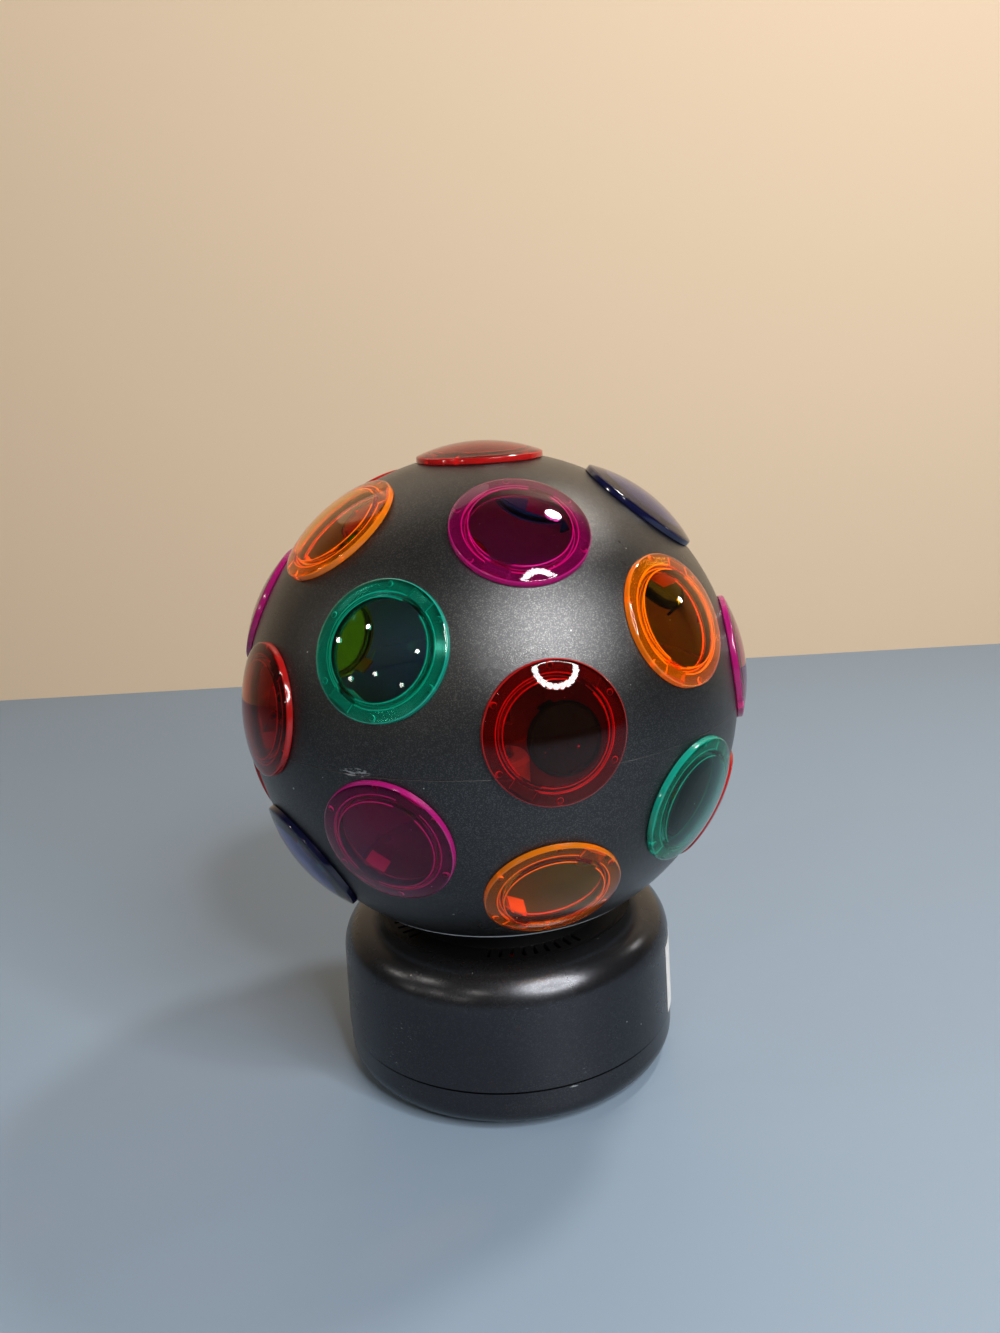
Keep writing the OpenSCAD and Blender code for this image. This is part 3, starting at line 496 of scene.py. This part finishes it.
# The two snap arms
tab_turns = [math.radians(turn) for turn in (145, 325)]
arm_set_in = 0.0001
arm_in, arm_out = skirt_in + arm_set_in, skirt_r - arm_set_in
arm_root = skirt_end + 0.001
arm_end = hook_top - tab_reach
arm_section = [(arm_in, arm_root), (arm_in, arm_end), (arm_out, arm_end), (hook_r, hook_top - hook_t),
               (hook_r, hook_top), (arm_out, hook_top), (arm_out, arm_root)]
for turn in tab_turns:
    arm = draw_line("snap_arm", arm_section)
    bpy.ops.mesh.edge_face_add()
    bpy.ops.transform.translate(value=(0.0, -tab_w / 2, 0.0))
    bpy.ops.mesh.extrude_region_move(TRANSFORM_OT_translate={"value": (0.0, tab_w, 0.0)})
    close_up()
    arm.rotation_euler = (0.0, 0.0, turn)
    bpy.ops.object.transform_apply(location=False, rotation=True, scale=False)
    cut_or_join(lens, arm, "UNION")

# Pockets in the flange over the arms, which the mould needs to shape the hooks
pocket_l = 0.0034
pocket_w = tab_w + 0.001
pocket_top = math.sqrt(seat_r ** 2 - skirt_r ** 2) + 0.0008
cutter_h = 0.02
core_r = skirt_r + 0.00003
for turn in tab_turns:
    bpy.ops.object.select_all(action="DESELECT")
    bpy.ops.mesh.primitive_cylinder_add(vertices=turns, radius=core_r, depth=2 * cutter_h,
                                        location=(0.0, 0.0, pocket_top))
    core = bpy.context.object
    bpy.ops.object.select_all(action="DESELECT")
    bpy.ops.mesh.primitive_cube_add(size=1.0, location=(skirt_r, 0.0, pocket_top - cutter_h / 2),
                                    scale=(2 * pocket_l, pocket_w, cutter_h))
    pocket = bpy.context.object
    cut_or_join(pocket, core, "DIFFERENCE")
    pocket.location = (skirt_r * math.cos(turn), skirt_r * math.sin(turn), pocket.location.z)
    pocket.rotation_euler = (0.0, 0.0, turn)
    cut_or_join(lens, pocket, "DIFFERENCE")

# Round marks of the ejector pins under the flange
pins = 6
pin_r = 0.0009
pin_h = 0.002
pin_slope = 0.45
pin_pos = 0.0226
pin_top = math.sqrt(seat_r ** 2 - pin_pos ** 2) + 0.0007
for k in range(pins):
    turn = math.tau * k / pins
    bpy.ops.object.select_all(action="DESELECT")
    bpy.ops.mesh.primitive_cone_add(
        vertices=20, radius1=pin_r + pin_slope * pin_h, radius2=pin_r, depth=pin_h,
        location=(pin_pos * math.cos(turn), pin_pos * math.sin(turn), pin_top - pin_h / 2))
    cut_or_join(lens, bpy.context.object, "DIFFERENCE")

# Tints of the clear plastic, the colours of its underside and of its edges, whose brighter colour is a
# painted glow, and how clear the underside is
lens_tints = {
    "lens_red": ((0.42, 0.022, 0.014, 1.0), (0.34, 0.006, 0.006, 1.0), (0.5, 0.011, 0.01, 1.0), 0.85),
    "lens_magenta": ((0.46, 0.035, 0.28, 1.0), (0.4, 0.009, 0.2, 1.0), (0.48, 0.012, 0.2, 1.0), 0.78),
    "lens_orange": ((0.9, 0.45, 0.006, 1.0), (0.62, 0.22, 0.004, 1.0), (0.85, 0.22, 0.006, 1.0), 0.78),
    "lens_green": ((0.05, 0.37, 0.3, 1.0), (0.011, 0.42, 0.3, 1.0), (0.009, 0.38, 0.28, 1.0), 0.7),
    "lens_blue": ((0.1, 0.12, 0.42, 1.0), (0.004, 0.005, 0.04, 1.0), (0.006, 0.007, 0.045, 1.0), 0.9),
}
acrylic_ior = 1.49
edge_clearness = 0.1
rim_clearness = 0.55
lens_wear_spacing = 0.005


def lens_clear(name, tint):
    """Clear tinted acrylic. Light goes through to what lies below it, and dust dulls it in spots."""
    finish, tree, shader = new_finish(name, Base_Color=tint, IOR=acrylic_ior, Transmission_Weight=1.0,
                                      Specular_Tint=(0.5, 0.5, 0.5, 1.0))
    wear = place_group(tree, wear_group, Place=spot_on_piece(tree), Spacing=lens_wear_spacing)
    faint_scuffs = maths(tree, "MULTIPLY", wear.outputs["Scuffs"], 0.6)
    dull = maths(tree, "MAXIMUM", wear.outputs["Specks"], faint_scuffs)
    wire(tree, shader, Roughness=spread(tree, dull, 0.025, 0.5))
    through = add_node(tree, "BsdfTransparent", {"Color": tuple(math.sqrt(part) for part in tint)})
    shadow = add_node(tree, "LightPath", {}).outputs["Is Shadow Ray"]
    mixed = add_node(tree, "MixShader", {0: shadow, 1: shader.outputs["BSDF"], 2: through.outputs["BSDF"]})
    tree.links.new(mixed.outputs["Shader"], tree.nodes["Material Output"].inputs["Surface"])
    return finish


def lens_glow(name, colour, clearness):
    """The same plastic with a painted glow: a bright colour stands in for the light coming out from inside, a
    little on its underside, more at its cut edges.
    """
    finish, tree, shader = new_finish(name, IOR=acrylic_ior, Transmission_Weight=clearness)
    cloud = noise(tree, spot_on_piece(tree), 160.0, 3.0)
    deep = tuple(part * 0.95 for part in colour[:3]) + (1.0,)
    wire(tree, shader, Base_Color=blend_colours(tree, ramp(tree, cloud, 0.3, 0.65), deep, colour),
         Roughness=spread(tree, cloud, 0.08, 0.16))
    return finish


lens_finishes = {slot: (lens_clear(slot + "_clear", tint), lens_glow(slot + "_under", under, clearness),
                        lens_glow(slot + "_edge", edge, edge_clearness),
                        lens_glow(slot + "_rim", edge, rim_clearness))
                 for slot, (tint, under, edge, clearness) in lens_tints.items()}
for finish in lens_finishes["lens_red"]:
    lens.data.materials.append(finish)
clear, under, bright, rim = range(4)
dome_middle = Vector((0.0, 0.0, dome_z))
tab_half_turn = math.asin(pocket_w / 2 / skirt_r)
near = 0.00006


def lens_face(middle):
    """Which of the four finishes a face of the lens gets, by its middle."""
    r = math.hypot(middle.x, middle.y)
    heading = math.atan2(middle.y, middle.x)
    off_tab = min(abs((heading - turn + math.pi) % math.tau - math.pi) for turn in tab_turns)
    reach = (middle - dome_middle).length
    if abs(reach - dome_r) < near:
        return clear
    if r > round_r:
        return rim
    if abs(reach - dome_r + lens_wall) < near:
        return clear if r < skirt_in - line_w or off_tab < tab_half_turn else bright
    if abs(middle.length - seat_r) < near:
        return under if r > skirt_r + line_w or off_tab < tab_half_turn else bright
    if middle.z < skirt_end - near:
        return bright
    if min(abs(r - skirt_r), abs(r - skirt_in)) < near and middle.z > skirt_end:
        return clear
    on_flat = min(abs(middle.z - flat) for flat in (skirt_end, pin_top, pocket_top)) < near
    return under if on_flat else bright


for face in lens.data.polygons:
    face.material_index = lens_face(face.center)
bpy.ops.object.select_all(action="DESELECT")
lens.select_set(True)
bpy.context.view_layer.objects.active = lens
bpy.ops.object.shade_smooth_by_angle(angle=math.radians(28))


def lens_axis(node):
    """Direction of a lens from the ball's middle, from the middle of its CAD surface."""
    faces = nodes[node].data.polygons
    area = sum(face.area for face in faces)
    middle = sum((face.center * face.area for face in faces), Vector()) / area
    return (middle - ball_middle).normalized()


least_lean = 0.01
for node in [name for name, slot in node_slots.items() if slot in lens_tints]:
    axis = lens_axis(node)
    lean = math.acos(min(1.0, axis.z))
    heading = math.atan2(axis.y, axis.x) if lean > least_lean else math.radians(-90)
    moulding = lens.copy()
    moulding.data = lens.data.copy()
    moulding.name = node + "_moulding"
    bpy.context.scene.collection.objects.link(moulding)
    moulding.location = ball_middle
    moulding.rotation_euler = (0.0, lean if lean > least_lean else 0.0, heading)
    for k, finish in enumerate(lens_finishes[node_slots[node]]):
        moulding.data.materials[k] = finish
    bpy.ops.object.select_all(action="DESELECT")
    moulding.select_set(True)
    bpy.context.view_layer.objects.active = moulding
    bpy.ops.object.transform_apply(location=True, rotation=True, scale=False)
    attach(moulding, "ball")
    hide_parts(node)
bpy.data.objects.remove(lens)


# Paper label
# A blank white paper label is stuck round the right side of the base, between the parting line and the
# shoulder. Its edges are cut square.
label_low, label_high = 0.0205, 0.0512
label_end, label_sweep = 106.0, 36.0
label_t = 0.00012
glue_t = label_t * 0.3
wall_low_r, wall_high_r = 0.0716, 0.0708
wall_low_z, wall_high_z = parting_z, 0.0522


def wall_r(z):
    """Radius of the housing's wall at a height."""
    return wall_low_r + (wall_high_r - wall_low_r) * (z - wall_low_z) / (wall_high_z - wall_low_z)


label = draw_line("side_label", [(wall_r(z) + glue_t, z) for z in (label_low, label_high)])
bpy.ops.transform.rotate(value=math.radians(90 - label_end), orient_axis="Z", center_override=(0.0, 0.0, 0.0))
bpy.ops.mesh.spin(steps=24, angle=math.radians(label_sweep), center=(0.0, 0.0, 0.0), axis=(0.0, 0.0, 1.0))
close_up()
thick = label.modifiers.new("paper", "SOLIDIFY")
thick.thickness = label_t
thick.offset = 1.0
bpy.ops.object.modifier_apply(modifier=thick.name)
label.data.materials.append(moulded_finish("label_paper", (0.66, 0.66, 0.65, 1.0), 0.6, 0.0003, 0.00002))
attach(label, "base")


# Camera, floor, backdrop and lamps
# A pale blue-grey floor and a pale warm wall, as in a small studio. A ring of lamps stands in front on the
# right, one lamp above and behind on the right throws the shadow, weak ones light the back and the right,
# and small ones give the glints in the lenses.
camera = bpy.data.objects.new("camera", bpy.data.cameras.new("camera"))
camera.location = (0.0, -0.44274, 0.29039)
camera.rotation_euler = [math.radians(angle) for angle in (74.976, 3.0387, -1.2772)]
camera.data.lens = 29.82
camera.data.sensor_width = 36.0
bpy.context.scene.collection.objects.link(camera)
bpy.context.scene.camera = camera

floor_colour = (0.19, 0.25, 0.32, 1.0)
wall_colour = (0.6, 0.46, 0.32, 1.0)
stage_size = 6.0
floor_z = -0.0002
wall_y = 0.62
wall_foot = -0.01
bpy.ops.object.select_all(action="DESELECT")
bpy.ops.mesh.primitive_plane_add(size=stage_size, location=(0.0, 0.0, floor_z))
floor = bpy.context.object
floor.name = "floor"
floor.data.materials.append(new_finish("floor_sheet", Base_Color=floor_colour, Roughness=0.5)[0])
bpy.ops.mesh.primitive_plane_add(size=stage_size, location=(0.0, wall_y, stage_size / 2 + wall_foot),
                                 rotation=(math.radians(90), 0.0, 0.0))
wall = bpy.context.object
wall.name = "backdrop"
wall.data.materials.append(new_finish("wall_paint", Base_Color=wall_colour, Roughness=0.9)[0])


def stand_lamp(name, turn, rise, distance, size, power, colour):
    """A round lamp, by its turn from the front towards +X and its angle above the horizon."""
    data = bpy.data.lights.new(name, "AREA")
    data.shape = "DISK"
    data.size = size
    data.energy = power
    data.color = colour
    lamp = bpy.data.objects.new(name, data)
    turn, rise = math.radians(turn), math.radians(rise)
    back = Vector((math.sin(turn) * math.cos(rise), -math.cos(turn) * math.cos(rise), math.sin(rise)))
    lamp.location = ball_middle + back * distance
    lamp.rotation_euler = back.to_track_quat("Z", "Y").to_euler()
    lamp.visible_camera = False
    bpy.context.scene.collection.objects.link(lamp)


ring_lamps = 24
ring_turn, ring_rise = 32, 38
ring_reach = 12.5
ring_power = 35.0
ring_white = (0.97, 0.97, 0.97)
for k in range(ring_lamps):
    around = math.tau * k / ring_lamps
    turn = ring_turn + ring_reach * math.cos(around) / math.cos(math.radians(ring_rise))
    rise = ring_rise + ring_reach * math.sin(around)
    stand_lamp(f"ring_lamp_{k + 1}", turn, rise, 1.5, 0.11, ring_power / ring_lamps, ring_white)
warm_white = (1.0, 0.95, 0.88)
stand_lamp("shadow_lamp", 120, 60, 1.4, 0.18, 9.0, warm_white)
stand_lamp("back_lamp", -150, 50, 0.95, 0.6, 0.7, (1.0, 0.9, 0.78))
stand_lamp("right_lamp", 105, 22, 1.1, 0.05, 0.6, warm_white)
glints = [(-67, 38, 0.8), (-85, 24, 0.5), (-23, 32, 0.5), (-49, 16, 0.3), (-31, 12, 0.2), (-66, 10, 0.2)]
for k, (turn, rise, power) in enumerate(glints):
    stand_lamp(f"glint_lamp_{k + 1}", turn, rise, 1.1, 0.05, power, (1.0, 0.93, 0.82))

world = bpy.data.worlds.new("room")
world.use_nodes = True
bpy.context.scene.world = world
room_light = world.node_tree.nodes["Background"]
room_light.inputs["Color"].default_value = (0.95, 0.93, 0.9, 1.0)
room_light.inputs["Strength"].default_value = 0.06
bpy.context.scene.view_settings.view_transform = "Standard"
